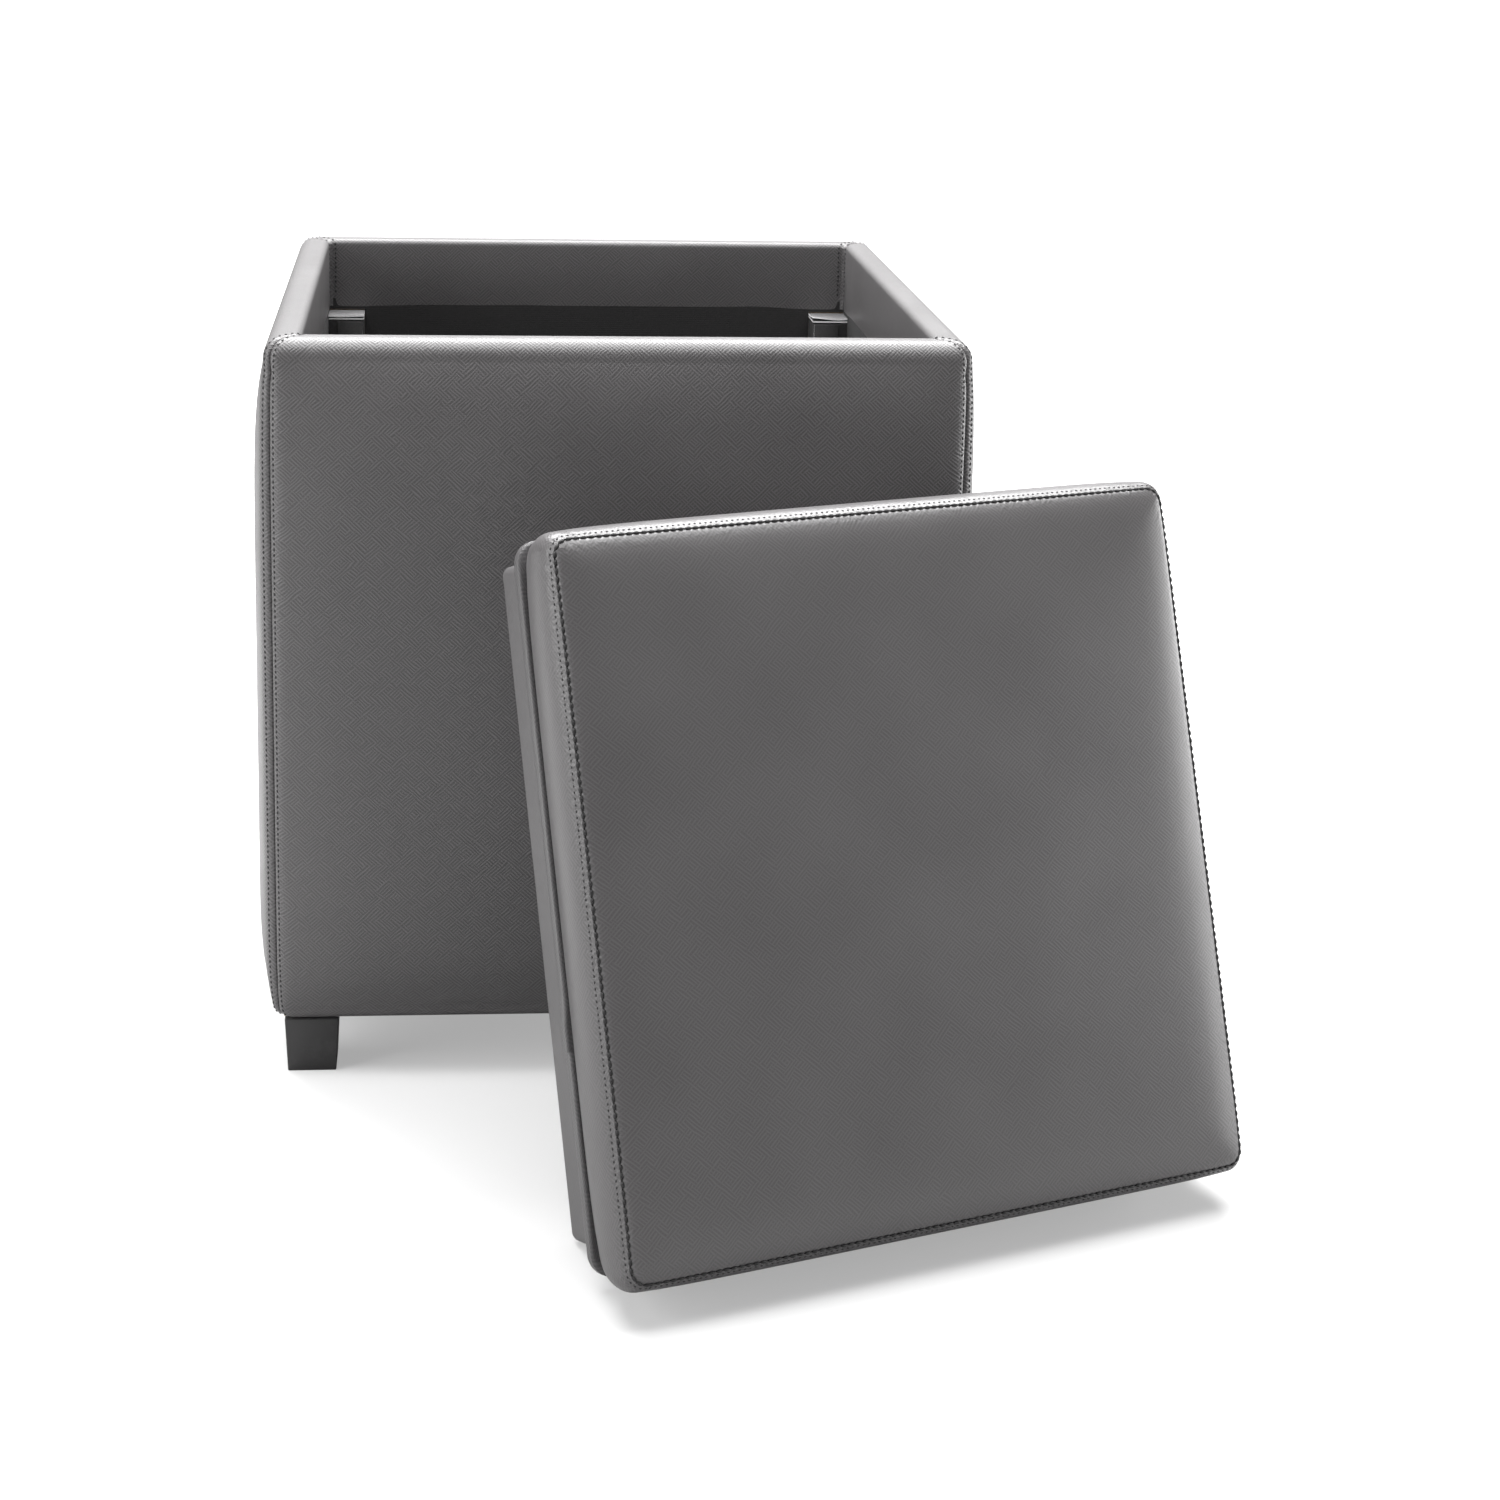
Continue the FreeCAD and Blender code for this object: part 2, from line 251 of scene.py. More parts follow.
for direction, low, high in ((43.0, 0.44, 0.54), (-43.0, 0.56, 0.46)):
    turn = cross_hatch.nodes.new("ShaderNodeMapping")
    turn.inputs["Rotation"].default_value = (0.0, 0.0, math.radians(direction))
    cross_hatch.links.new(hatch_in.outputs["Cut"], turn.inputs["Vector"])
    axes = cross_hatch.nodes.new("ShaderNodeSeparateXYZ")
    cross_hatch.links.new(turn.outputs[0], axes.inputs[0])
    stretch = cross_hatch.nodes.new("ShaderNodeMapping")
    stretch.inputs["Scale"].default_value = (1.0 / 0.011, 1.0 / 0.0042, 1.0)
    cross_hatch.links.new(turn.outputs[0], stretch.inputs["Vector"])
    waver = noise_node(cross_hatch, stretch.outputs[0], 1.0, 1.0)
    phase = math_node(cross_hatch, "ADD",
                      math_node(cross_hatch, "MULTIPLY", axes.outputs["Y"], 2 * math.pi / stroke_pitch),
                      math_node(cross_hatch, "MULTIPLY", waver, 7.0))
    line = remap(cross_hatch, math_node(cross_hatch, "SINE", phase), -0.6, 0.9)
    share = remap(cross_hatch, patch, low, high, 0.30, 1.0)
    strokes.append(math_node(cross_hatch, "MULTIPLY", line, share))
    level = math_node(cross_hatch, "SUBTRACT", line, 0.5)
    reliefs.append(math_node(cross_hatch, "MULTIPLY", level, share))
for label, value in (("Tone", math_node(cross_hatch, "MAXIMUM", strokes[0], strokes[1])),
                     ("Relief", math_node(cross_hatch, "ADD", reliefs[0], reliefs[1]))):
    cross_hatch.links.new(math_node(cross_hatch, "MULTIPLY", value, hatch_in.outputs["Stroke"]),
                          hatch_out.inputs[label])
mottle = noise_node(cross_hatch, hatch_in.outputs["Cut"], 1.0 / 0.06, 3.0)
cross_hatch.links.new(mottle, hatch_out.inputs["Mottle"])


def vinyl(name, color, stroke=1.0, gloss=0.37, emboss=0.45, dark=0.60, light=1.45):
    """The grey vinyl of one kind of panel. Cut is the UV map in metres, pull the seam attribute."""
    material = bpy.data.materials.new(name)
    material.use_nodes = True
    tree = material.node_tree
    shader = tree.nodes["Principled BSDF"]
    cut = tree.nodes.new("ShaderNodeUVMap")
    cut.uv_map = "cut"
    hatch = tree.nodes.new("ShaderNodeGroup")
    hatch.node_tree = cross_hatch
    hatch.inputs["Stroke"].default_value = stroke
    tree.links.new(cut.outputs[0], hatch.inputs["Cut"])
    shade = tree.nodes.new("ShaderNodeMix")
    shade.data_type = "RGBA"
    shade.inputs[6].default_value = (*[c * dark for c in color], 1.0)
    shade.inputs[7].default_value = (*[c * light for c in color], 1.0)
    tone = math_node(tree, "ADD", math_node(tree, "MULTIPLY", hatch.outputs["Tone"], 0.75),
                     math_node(tree, "MULTIPLY", hatch.outputs["Mottle"], 0.25))
    tree.links.new(tone, shade.inputs[0])
    tree.links.new(shade.outputs[2], shader.inputs["Base Color"])
    tree.links.new(remap(tree, hatch.outputs["Mottle"], 0.3, 0.7, gloss - 0.03, gloss + 0.05),
                   shader.inputs["Roughness"])
    pull = tree.nodes.new("ShaderNodeAttribute")
    pull.attribute_name = "pull"
    bump = tree.nodes.new("ShaderNodeBump")
    bump.inputs["Distance"].default_value = 0.00018
    crinkle = noise_node(tree, cut.outputs[0], 1.0 / 0.0026, 1.0)
    crinkle = math_node(tree, "MULTIPLY", crinkle, pull.outputs["Fac"])
    crinkle = math_node(tree, "MULTIPLY", crinkle, 3.2)
    embossed = math_node(tree, "MULTIPLY", hatch.outputs["Relief"], emboss)
    tree.links.new(math_node(tree, "ADD", embossed, crinkle), bump.inputs["Height"])
    tree.links.new(bump.outputs[0], shader.inputs["Normal"])
    return material


vinyl_grey = (0.086, 0.0825, 0.084)
cover_vinyl = vinyl("cover_vinyl", vinyl_grey)


# ---- Box covers
# Four vinyl panels, one to a side, cut with mitred ends and sewn together at the corners. Each
# is pulled up from under the box, over foam and rim, and ends as a band glued inside.
seam_gap = 0.00035
corner_radius, mouth_corner = 0.010, 0.0028
under_radius, edge_radius, inner_radius = 0.010, 0.011, 0.004
side_crown, band_crown = 0.0094, 0.0006
edges_near_seam = (0.0, 0.0004, 0.0009, 0.0015, 0.0023, 0.0034, 0.0048, 0.0066, 0.0090, 0.0120)


def cover_girth():
    """The panel's way round from underneath to the end of the band: (run, length) for each run."""
    quarter = math.pi / 2
    deep = half - band_inner
    return (("turn_under", 0.018 - under_radius), ("under_edge", under_radius * quarter),
            ("outside", rim - under - under_radius - edge_radius), ("rim_edge", edge_radius * quarter),
            ("rim_top", deep - edge_radius - inner_radius), ("mouth_edge", inner_radius * quarter),
            ("band", rim - inner_radius - band_low))


def girth_point(along):
    """Depth in from the outer plane, height, outward and upward parts of the normal, and crown."""
    quarter = math.pi / 2
    deep = half - band_inner
    for run, length in cover_girth():
        if along <= length or run == "band":
            break
        along -= length
    part = min(max(along / length, 0.0), 1.0)
    swing = part * quarter
    if run == "turn_under":
        return 0.018 - along, under, 0.0, -1.0, 0.0
    if run == "under_edge":
        return (under_radius * (1 - math.sin(swing)), under + under_radius * (1 - math.cos(swing)),
                math.sin(swing), -math.cos(swing), 0.0)
    if run == "outside":
        crown = side_crown * (1 - abs(2 * part - 1) ** (14 if part < 0.5 else 7))
        return 0.0, under + under_radius + along, 1.0, 0.0, crown
    if run == "rim_edge":
        return (edge_radius * (1 - math.cos(swing)), rim - edge_radius * (1 - math.sin(swing)),
                math.cos(swing), math.sin(swing), 0.0)
    if run == "rim_top":
        return edge_radius + along, rim, 0.0, 1.0, 0.0
    if run == "mouth_edge":
        return (deep - inner_radius * (1 - math.sin(swing)), rim - inner_radius * (1 - math.cos(swing)),
                -math.sin(swing), math.cos(swing), 0.0)
    crown = band_crown * math.sin(math.pi * part)
    return deep, rim - inner_radius - along, -1.0, 0.0, crown


def corner_at(depth):
    """Radius of the upright corner at a depth in from the outer plane."""
    return max(mouth_corner, corner_radius * (1 - depth / 0.012))


def cover_point(side, from_seam, along, turn_in=0.0, beneath=0.0):
    """A point of the front panel, or under it. side is -1 or 1, from_seam is along the vinyl."""
    depth, height, out, up, crown = girth_point(along)
    radius = corner_at(depth)
    bend = radius * math.pi / 4
    lean = (math.pi / 4) * (1 - from_seam / bend) if from_seam < bend else 0.0
    if lean > 0:
        across = half - depth - radius + radius * math.sin(lean)
        pulled = radius * (1 - math.cos(lean))
    else:
        across = half - depth - radius - (from_seam - bend)
        pulled = 0.0
    share = min(1.0, abs(across) / (half - depth))
    lift = crown * (1 - share ** 8)
    inside = max(0.0, -out)
    lift -= (0.0017 - 0.0013 * inside) * math.exp(-from_seam / 0.0012)
    notch = (height - (rim - 0.018)) / 0.004
    if out > 0.5:
        lift -= 0.0014 * math.exp(-notch * notch - from_seam / 0.003)
    facing = Vector((side * math.sin(lean) * out, -math.cos(lean) * out, up))
    place = Vector((side * across, -(half - depth - pulled), height)) + facing * lift
    if height < band_low + 0.012 and out < -0.5:
        slack = min(1.0, max(0.0, (abs(across) - 0.105) / 0.040))
        place.z -= 0.0012 * slack * slack * (3 - 2 * slack) * (1 - (height - band_low) / 0.012)
    if turn_in > 0:
        seam_facing = Vector((side * out, -out, up)).normalized()
        place -= seam_facing * turn_in * (1 - 0.6 * inside)
    place.x -= side * seam_gap * (1 - 0.9 * inside)
    return place - facing * beneath


def girth_stations():
    """Where the rows of the panel's mesh lie, closer together round the edges."""
    rows = {"turn_under": 3, "under_edge": 8, "outside": 44, "rim_edge": 12, "rim_top": 4,
            "mouth_edge": 7, "band": 12}
    stations, start = [0.0], 0.0
    for run, length in cover_girth():
        count = rows[run]
        for step in range(1, count + 1):
            part = step / count
            if run == "outside":
                part = 0.5 - 0.5 * math.cos(math.pi * part) * (0.6 + 0.4 * math.cos(math.pi * part) ** 2)
            stations.append(start + part * length)
        start += length
    return stations


def shaped_grid(name, columns, rows, place_of, cut_of, pull_of=lambda column, row: 0.0):
    """A grid of that many columns and rows, each vertex placed by its column and row."""
    nothing_selected()
    bpy.ops.mesh.primitive_grid_add(x_subdivisions=columns - 1, y_subdivisions=rows - 1, size=2.0)
    piece = bpy.context.object
    piece.name = name
    mesh = piece.data
    mesh.name = name
    where = [(round((vertex.co.x + 1) / 2 * (columns - 1)), round((vertex.co.y + 1) / 2 * (rows - 1)))
             for vertex in mesh.vertices]
    for vertex, (column, row) in zip(mesh.vertices, where):
        vertex.co = place_of(column, row)
    while mesh.uv_layers:
        mesh.uv_layers.remove(mesh.uv_layers[0])
    cut = mesh.uv_layers.new(name="cut")
    for loop in mesh.loops:
        cut.data[loop.index].uv = cut_of(*where[loop.vertex_index])
    pull = mesh.attributes.new("pull", "FLOAT", "POINT")
    for index, (column, row) in enumerate(where):
        pull.data[index].value = pull_of(column, row)
    return piece


def add_modifier(piece, kind, **settings):
    """Adds a modifier, sets it and applies it."""
    pick(piece)
    modifier = piece.modifiers.new(kind.lower(), kind)
    for key, value in settings.items():
        setattr(modifier, key, value)
    bpy.ops.object.modifier_apply(modifier=modifier.name)


def outward(piece):
    """Recalculates the faces of a closed piece so that they point outwards."""
    pick(piece)
    bpy.ops.object.mode_set(mode="EDIT")
    bpy.ops.mesh.select_all(action="SELECT")
    bpy.ops.mesh.normals_make_consistent(inside=False)
    bpy.ops.object.mode_set(mode="OBJECT")


def smooth(piece, degrees=50.0):
    """Shades a piece smooth, apart from edges sharper than that."""
    pick(piece)
    bpy.ops.object.shade_smooth_by_angle(angle=math.radians(degrees))


def finish_piece(piece, material, body, replaced=(), degrees=50.0):
    """Shading, material, body, slot and the CAD nodes that the piece stands for."""
    smooth(piece, degrees)
    piece.data.materials.clear()
    piece.data.materials.append(material)
    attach(piece, body)
    if replaced:
        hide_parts(*replaced)


def seam_pull(from_seam):
    """How strongly a seam crinkles the vinyl at that distance."""
    return math.exp(-((from_seam / 0.0045) ** 2))


corners = ("front_left", "front_right", "back_left", "back_right")
side_turn = {"front": 0, "right": 1, "back": 2, "left": 3}
side_place = {side: Matrix.Translation(box_middle) @ Matrix.Rotation(math.radians(90 * turn), 4, "Z")
              for side, turn in side_turn.items()}
stations = girth_stations()
across_shares = [0.06, 0.13, 0.21, 0.30, 0.40, 0.51, 0.62, 0.74, 0.87, 1.0]
column_count = 2 * (1 + len(edges_near_seam) + len(across_shares)) - 1


def reach(along):
    """Length of the vinyl from the panel's middle to its seam."""
    depth = girth_point(along)[0]
    return half - depth - corner_at(depth) * (1 - math.pi / 4)


def column_place(column, along):
    """Side, distance from the seam and turn-in of a column, counted from the left seam."""
    middle = (column_count - 1) // 2
    side = -1 if column <= middle else 1
    count = column if side < 0 else column_count - 1 - column
    if count == 0:
        return side, 0.0, 0.0028
    if count <= len(edges_near_seam):
        return side, edges_near_seam[count - 1], 0.0
    length = reach(along)
    near = edges_near_seam[-1]
    return side, near + across_shares[count - len(edges_near_seam) - 1] * (length - near), 0.0


def cover_vertex(column, row):
    along = stations[row]
    side, from_seam, turn_in = column_place(column, along)
    return cover_point(side, from_seam, along, turn_in)


def cover_cut(column, row):
    along = stations[row]
    side, from_seam, turn_in = column_place(column, along)
    return side * (reach(along) - from_seam + turn_in), along


def cover_pull(column, row):
    return seam_pull(column_place(column, stations[row])[1])


girth_length = sum(length for run, length in cover_girth())
for side_name in side_turn:
    cover = shaped_grid("sewn_cover_" + side_name, column_count, len(stations),
                        cover_vertex, cover_cut, cover_pull)
    cover.data.transform(side_place[side_name])
    add_modifier(cover, "SOLIDIFY", thickness=vinyl_thick, offset=-1.0)
    outward(cover)
    finish_piece(cover, cover_vinyl, "box", (side_name + "_cover",))


# ---- Topstitching on the box
# A row of near-black thread on each side of every corner seam, from under the box, over the rim
# and down the band; its dark colour also paints the shade of the stitch holes. Each stitch is a
# short bead of thread that sinks into the vinyl at both ends.
stitch_pitch, stitch_length, stitch_wide = 0.0031, 0.0019, 0.0013
row_from_seam, mark_step, stitch_sunk = 0.0034, 0.0004, 0.00012


def thread(name, roughness, dark, light):
    """Twisted sewing thread."""
    material, tree, shader, place = plain_material(name, roughness)
    two_tones(tree, shader, noise_node(tree, place, 2600.0, 1.0), dark, light)
    return material


# The thread is near black: its colour paints the shade of the stitch holes as well as the thread.
thread_with_painted_hole_shade = thread("near_black_thread_painted_hole_shade", 0.6, (0.007, 0.007, 0.007), (0.026, 0.025, 0.026))
nothing_selected()
bpy.ops.mesh.primitive_uv_sphere_add(segments=6, ring_count=5, radius=0.5)
stitch_model = bpy.context.object
bpy.ops.object.mode_set(mode="EDIT")
bpy.ops.mesh.select_all(action="SELECT")
bpy.ops.transform.rotate(value=math.radians(90), orient_axis="Y", center_override=(0, 0, 0))
bpy.ops.object.mode_set(mode="OBJECT")
stitch_points = [vertex.co.copy() for vertex in stitch_model.data.vertices]
stitch_faces = [tuple(face.vertices) for face in stitch_model.data.polygons]
bpy.data.objects.remove(stitch_model)


def stitch_row(name, marks, body, length=stitch_length, wide=stitch_wide,
               material=thread_with_painted_hole_shade):
    """Copies of the stitch at marks (place, direction, facing), as one piece."""
    points, faces = [], []
    for place, direction, facing in marks:
        along = direction.normalized()
        up = (facing - along * facing.dot(along)).normalized()
        aside = up.cross(along)
        start = len(points)
        for point in stitch_points:
            points.append(place - up * stitch_sunk + along * point.x * length + aside * point.y * wide
                          + up * point.z * wide)
        faces += [tuple(start + index for index in face) for face in stitch_faces]
    mesh = bpy.data.meshes.new(name)
    mesh.from_pydata(points, [], faces)
    piece = bpy.data.objects.new(name, mesh)
    bpy.context.scene.collection.objects.link(piece)
    outward(piece)
    smooth(piece, 80.0)
    mesh.materials.append(material)
    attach(piece, body)


def cover_marks(side, place):
    """Stitch places along one end of a panel."""
    marks = []
    count = int((girth_length - 0.012) / stitch_pitch)
    for step in range(count):
        along = 0.008 + step * stitch_pitch
        here = cover_point(side, row_from_seam, along)
        ahead = (cover_point(side, row_from_seam, along + mark_step)
                 - cover_point(side, row_from_seam, along - mark_step))
        aside = (cover_point(side, row_from_seam - mark_step, along)
                 - cover_point(side, row_from_seam + mark_step, along))
        facing = (aside * side).cross(ahead)
        turn = place.to_3x3()
        marks.append((place @ here, turn @ ahead, turn @ facing))
    return marks


for side_name, place in side_place.items():
    for end, end_name in ((-1, "left"), (1, "right")):
        stitch_row(f"topstitch_{side_name}_{end_name}", cover_marks(end, place), "box")


# ---- Foam under the covers
# A pad of open-cell foam is glued to the outside of each board and folded over its top edge. It
# fills the cover out, so the cover stands crowned between its corners.
foam_material, foam_tree, foam_shader, foam_place = plain_material("cream_foam", 0.9)
foam_cells = foam_tree.nodes.new("ShaderNodeTexVoronoi")
foam_cells.inputs["Scale"].default_value = 1400.0
foam_tree.links.new(foam_place, foam_cells.inputs["Vector"])
foam_tint = noise_node(foam_tree, foam_place, 60.0, 4.0)
two_tones(foam_tree, foam_shader, foam_tint, (0.62, 0.58, 0.46), (0.80, 0.77, 0.66))
relief(foam_tree, foam_shader, foam_cells.outputs["Distance"], 0.0004)

foam_gap = 0.0001
mitre_gap = 0.0006
board_depth = half - (box_middle.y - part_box("front_board")[0].y)
board_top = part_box("front_board")[1].z
pad_rows = [along for along in stations if 0.010 < along < girth_length - 0.040]
pad_path = ((half - band_inner - vinyl_thick, board_top), (board_depth + 0.006, board_top),
            (board_depth, board_top), (board_depth, 0.30), (board_depth, 0.17),
            (board_depth, under + vinyl_thick))
pad_half = [0.2, 0.4, 0.58, 0.74, 0.86, 0.93, 0.97, 1.0]
pad_shares = [-share for share in reversed(pad_half)] + [0.0] + pad_half


def pad_vertex(column, row):
    """A point of the front pad: rows go up the outside, over the rim and back down the board."""
    share = pad_shares[column]
    rows = len(pad_rows) + len(pad_path)
    row = row % rows
    if row < len(pad_rows):
        side = 1 if share >= 0 else -1
        depth = girth_point(pad_rows[row])[0]
        length = half - depth - mitre_gap
        return cover_point(side, mitre_gap + length * (1 - abs(share)), pad_rows[row],
                           beneath=vinyl_thick + foam_gap)
    depth, height = pad_path[row - len(pad_rows)]
    return Vector((share * (half - depth - mitre_gap), -(half - depth), height))


def merged(piece, fill=False):
    """Merges doubles, closes any open ends and turns the faces outwards."""
    pick(piece)
    bpy.ops.object.mode_set(mode="EDIT")
    bpy.ops.mesh.select_all(action="SELECT")
    bpy.ops.mesh.remove_doubles(threshold=0.00001)
    if fill:
        bpy.ops.mesh.select_all(action="SELECT")
        bpy.ops.mesh.fill_holes(sides=0)
        bpy.ops.mesh.select_all(action="SELECT")
    bpy.ops.mesh.normals_make_consistent(inside=False)
    bpy.ops.object.mode_set(mode="OBJECT")


for side_name, place in side_place.items():
    pad = shaped_grid("foam_pad_" + side_name, len(pad_shares), len(pad_rows) + len(pad_path) + 1,
                      pad_vertex, lambda column, row: (pad_shares[column] * half, row * 0.01))
    merged(pad, fill=True)
    pad.data.transform(place)
    finish_piece(pad, foam_material, "box", (side_name + "_foam_pad",))


# ---- Linings
# Black spun-bonded cloth, glued and stapled to the inner faces of the boards between the posts,
# with a tab over each post, and laid on the bottom. It lies a little loose, so it ripples.
lining_material, lining_tree, lining_shader, lining_place = plain_material("black_spunbond", 0.88)
bonds = lining_tree.nodes.new("ShaderNodeTexVoronoi")
bonds.inputs["Scale"].default_value = 1.0 / 0.0013
bonds.inputs["Randomness"].default_value = 0.3
lining_tree.links.new(lining_place, bonds.inputs["Vector"])
lining_fibres = noise_node(lining_tree, lining_place, 900.0, 3.0, 0.6)
two_tones(lining_tree, lining_shader, lining_fibres, (0.0075, 0.0072, 0.0074), (0.021, 0.020, 0.0205))
lining_height = math_node(lining_tree, "ADD", math_node(lining_tree, "MULTIPLY", lining_fibres, 0.4),
                          remap(lining_tree, bonds.outputs["Distance"], 0.0, 0.45))
relief(lining_tree, lining_shader, lining_height, 0.00015)
lining_thick = 0.0006
columns = rows = 40


def loose_sheet(name, width, length, place, ripple, sag=0.0, shoulder=(0.0, 0.0)):
    """A flat sheet that faces +Z before it is placed, with shallow ripples and a sag at its middle.
    Shoulders are tabs, that wide and tall, on both sides of its -Y end."""
    def vertex(column, row):
        x = (column / (columns - 1) - 0.5) * width
        y = (row / (rows - 1) - 0.5) * length
        if shoulder[0]:
            x = ((column - 1) / (columns - 3) - 0.5) * width
            if column in (0, columns - 1):
                x = math.copysign(width / 2 + shoulder[0], x)
            if row == 1:
                y = shoulder[1] - length / 2
        share_x, share_y = 2 * x / width, 2 * y / length
        edge = max(0.0, 1 - share_x ** 6) * (1 - share_y ** 6)
        wave = (noise.noise(Vector((x * 14, y * 9, len(name) * 3.7)))
                + 0.4 * noise.noise(Vector((x * 40, y * 26, 9.0))))
        dip = sag * edge * (1 - share_x ** 2) * (1 - share_y ** 2)
        return Vector((x, y, ripple * wave * edge + dip))

    sheet = shaped_grid(name, columns, rows, vertex,
                        lambda column, row: (column / (columns - 1) * width, row / (rows - 1) * length))
    if shoulder[0]:
        pick(sheet)
        bpy.ops.object.mode_set(mode="EDIT")
        bpy.ops.mesh.select_mode(type="FACE")
        bpy.ops.mesh.select_all(action="DESELECT")
        bpy.ops.object.mode_set(mode="OBJECT")
        for face in sheet.data.polygons:
            face.select = abs(face.center.x) > width / 2 and face.center.y > shoulder[1] - length / 2
        bpy.ops.object.mode_set(mode="EDIT")
        bpy.ops.mesh.delete(type="FACE")
        bpy.ops.mesh.select_mode(type="VERT")
        bpy.ops.object.mode_set(mode="OBJECT")
    sheet.data.transform(place)
    add_modifier(sheet, "SOLIDIFY", thickness=lining_thick, offset=-1.0)
    outward(sheet)
    return sheet


post_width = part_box("corner_post_front_left")[1].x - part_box("corner_post_front_left")[0].x
board_inner = half - board_depth - 0.012
lining_width = 2 * (board_inner - post_width) - 0.0002
lining_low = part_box("front_lining")[0].z
lining_tall = band_low - lining_low + 0.004
shoulder_tall = lining_low + lining_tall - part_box("post_cap_front_left")[1].z - 0.0004
for side_name, place in side_place.items():
    stand_up = Matrix.Translation(Vector((0.0, -(board_inner - 0.0012), lining_low + lining_tall / 2)))
    lining = loose_sheet("wall_lining_" + side_name, lining_width, lining_tall,
                         place @ stand_up @ Matrix.Rotation(math.radians(-90), 4, "X"), 0.0006,
                         shoulder=(post_width - 0.0004, shoulder_tall))
    finish_piece(lining, lining_material, "box", (side_name + "_lining",))

floor_width = 2 * board_inner - 0.002
floor_sheet = loose_sheet("floor_lining_cloth", floor_width, floor_width,
                          Matrix.Translation(box_middle + Vector((0, 0, board_high.z + 0.0011))), 0.0005)
finish_piece(floor_sheet, lining_material, "box", ("floor_lining",))

cloth_low, cloth_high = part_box("underside_cloth")
cloth_width = cloth_high.x - cloth_low.x
dust_cloth = loose_sheet("underside_dust_cloth", cloth_width, cloth_width,
                         Matrix.Translation(box_middle + Vector((0, 0, cloth_high.z - 0.0004))), 0.0004,
                         sag=-0.0015)
finish_piece(dust_cloth, lining_material, "box", ("underside_cloth",))


# ---- Corner posts
# A square softwood post stands in each corner, wrapped in black cloth that laps on one face. The
# front, right, back and left boards are screwed to them.
wrap_round, lap_stands = 0.0010, 0.0007
cut_material, cut_tree, cut_shader, cut_place = plain_material("pale_cut_edge", 0.8)
cut_fibres = noise_node(cut_tree, cut_place, 1500.0, 2.0)
two_tones(cut_tree, cut_shader, cut_fibres, (0.78, 0.77, 0.78), (0.92, 0.91, 0.92))
relief(cut_tree, cut_shader, cut_fibres, 0.0001)


def box_mesh(name, low, high):
    """A cuboid at its size and place, with its place in its mesh."""
    nothing_selected()
    bpy.ops.mesh.primitive_cube_add(size=1.0)
    piece = bpy.context.object
    piece.name = name
    piece.data.name = name
    low, high = Vector(low), Vector(high)
    piece.data.transform(Matrix.Translation((low + high) / 2) @ Matrix.Diagonal((*(high - low), 1.0)))
    return piece


for corner in corners:
    low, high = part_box("corner_post_" + corner)
    toward = Vector((1.0 if corner.endswith("left") else -1.0, 1.0 if corner.startswith("front") else -1.0))
    post = box_mesh("wrapped_post_" + corner, low, high)
    add_modifier(post, "BEVEL", width=wrap_round, segments=3, limit_method="ANGLE")
    flap_x = (high.x - 0.017, high.x - 0.0009) if toward.x > 0 else (low.x + 0.0009, low.x + 0.017)
    flap_y = (high.y, high.y + lap_stands) if toward.y > 0 else (low.y - lap_stands, low.y)
    flap = box_mesh("flap", (flap_x[0], flap_y[0] - 0.0002, low.z + 0.002),
                    (flap_x[1], flap_y[1], high.z - 0.001))
    flap.data.materials.append(lining_material)
    flap.data.materials.append(cut_material)
    for face in flap.data.polygons:
        face.material_index = 1 if face.normal.x * toward.x > 0.5 else 0
    add_modifier(flap, "BEVEL", width=0.0002, segments=1, limit_method="NONE")
    post.data.materials.append(lining_material)
    nothing_selected()
    flap.select_set(True)
    post.select_set(True)
    bpy.context.view_layer.objects.active = post
    bpy.ops.object.join()
    smooth(post)
    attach(post, "box")
    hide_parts("corner_post_" + corner)


# ---- Post caps
# A strip of grey non-woven cloth, folded double with the fold against the wall, is tacked on the
# top of each post. Its two free edges curl apart, and the cut edges show pale.
cap_material, cap_tree, cap_shader, cap_place = plain_material("grey_cap_cloth", 0.85)
cap_fibres = noise_node(cap_tree, cap_place, 1200.0, 3.0, 0.6)
two_tones(cap_tree, cap_shader, cap_fibres, (0.09, 0.088, 0.09), (0.20, 0.196, 0.20))
relief(cap_tree, cap_shader, cap_fibres, 0.0002)

cap_thick = 0.0008
cap_low, cap_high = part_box("post_cap_front_left")
cap_side = cap_high.x - cap_low.x
layer_gap = cap_high.z - cap_low.z - 2 * cap_thick


def cap_profile():
    """Distance from the wall and height: along the lower layer, round the fold, and out again."""
    lower = [(cap_side - step * (cap_side - layer_gap) / 8, cap_thick) for step in range(9)]
    bend = [(layer_gap * (1 - 0.5 * math.sin(math.pi * step / 6)) - layer_gap * 0.5,
             cap_thick + layer_gap / 2 * (1 - math.cos(math.pi * step / 6))) for step in range(7)]
    upper = [(layer_gap + step * (cap_side - layer_gap) / 8, cap_thick + layer_gap) for step in range(9)]
    return lower + bend + upper


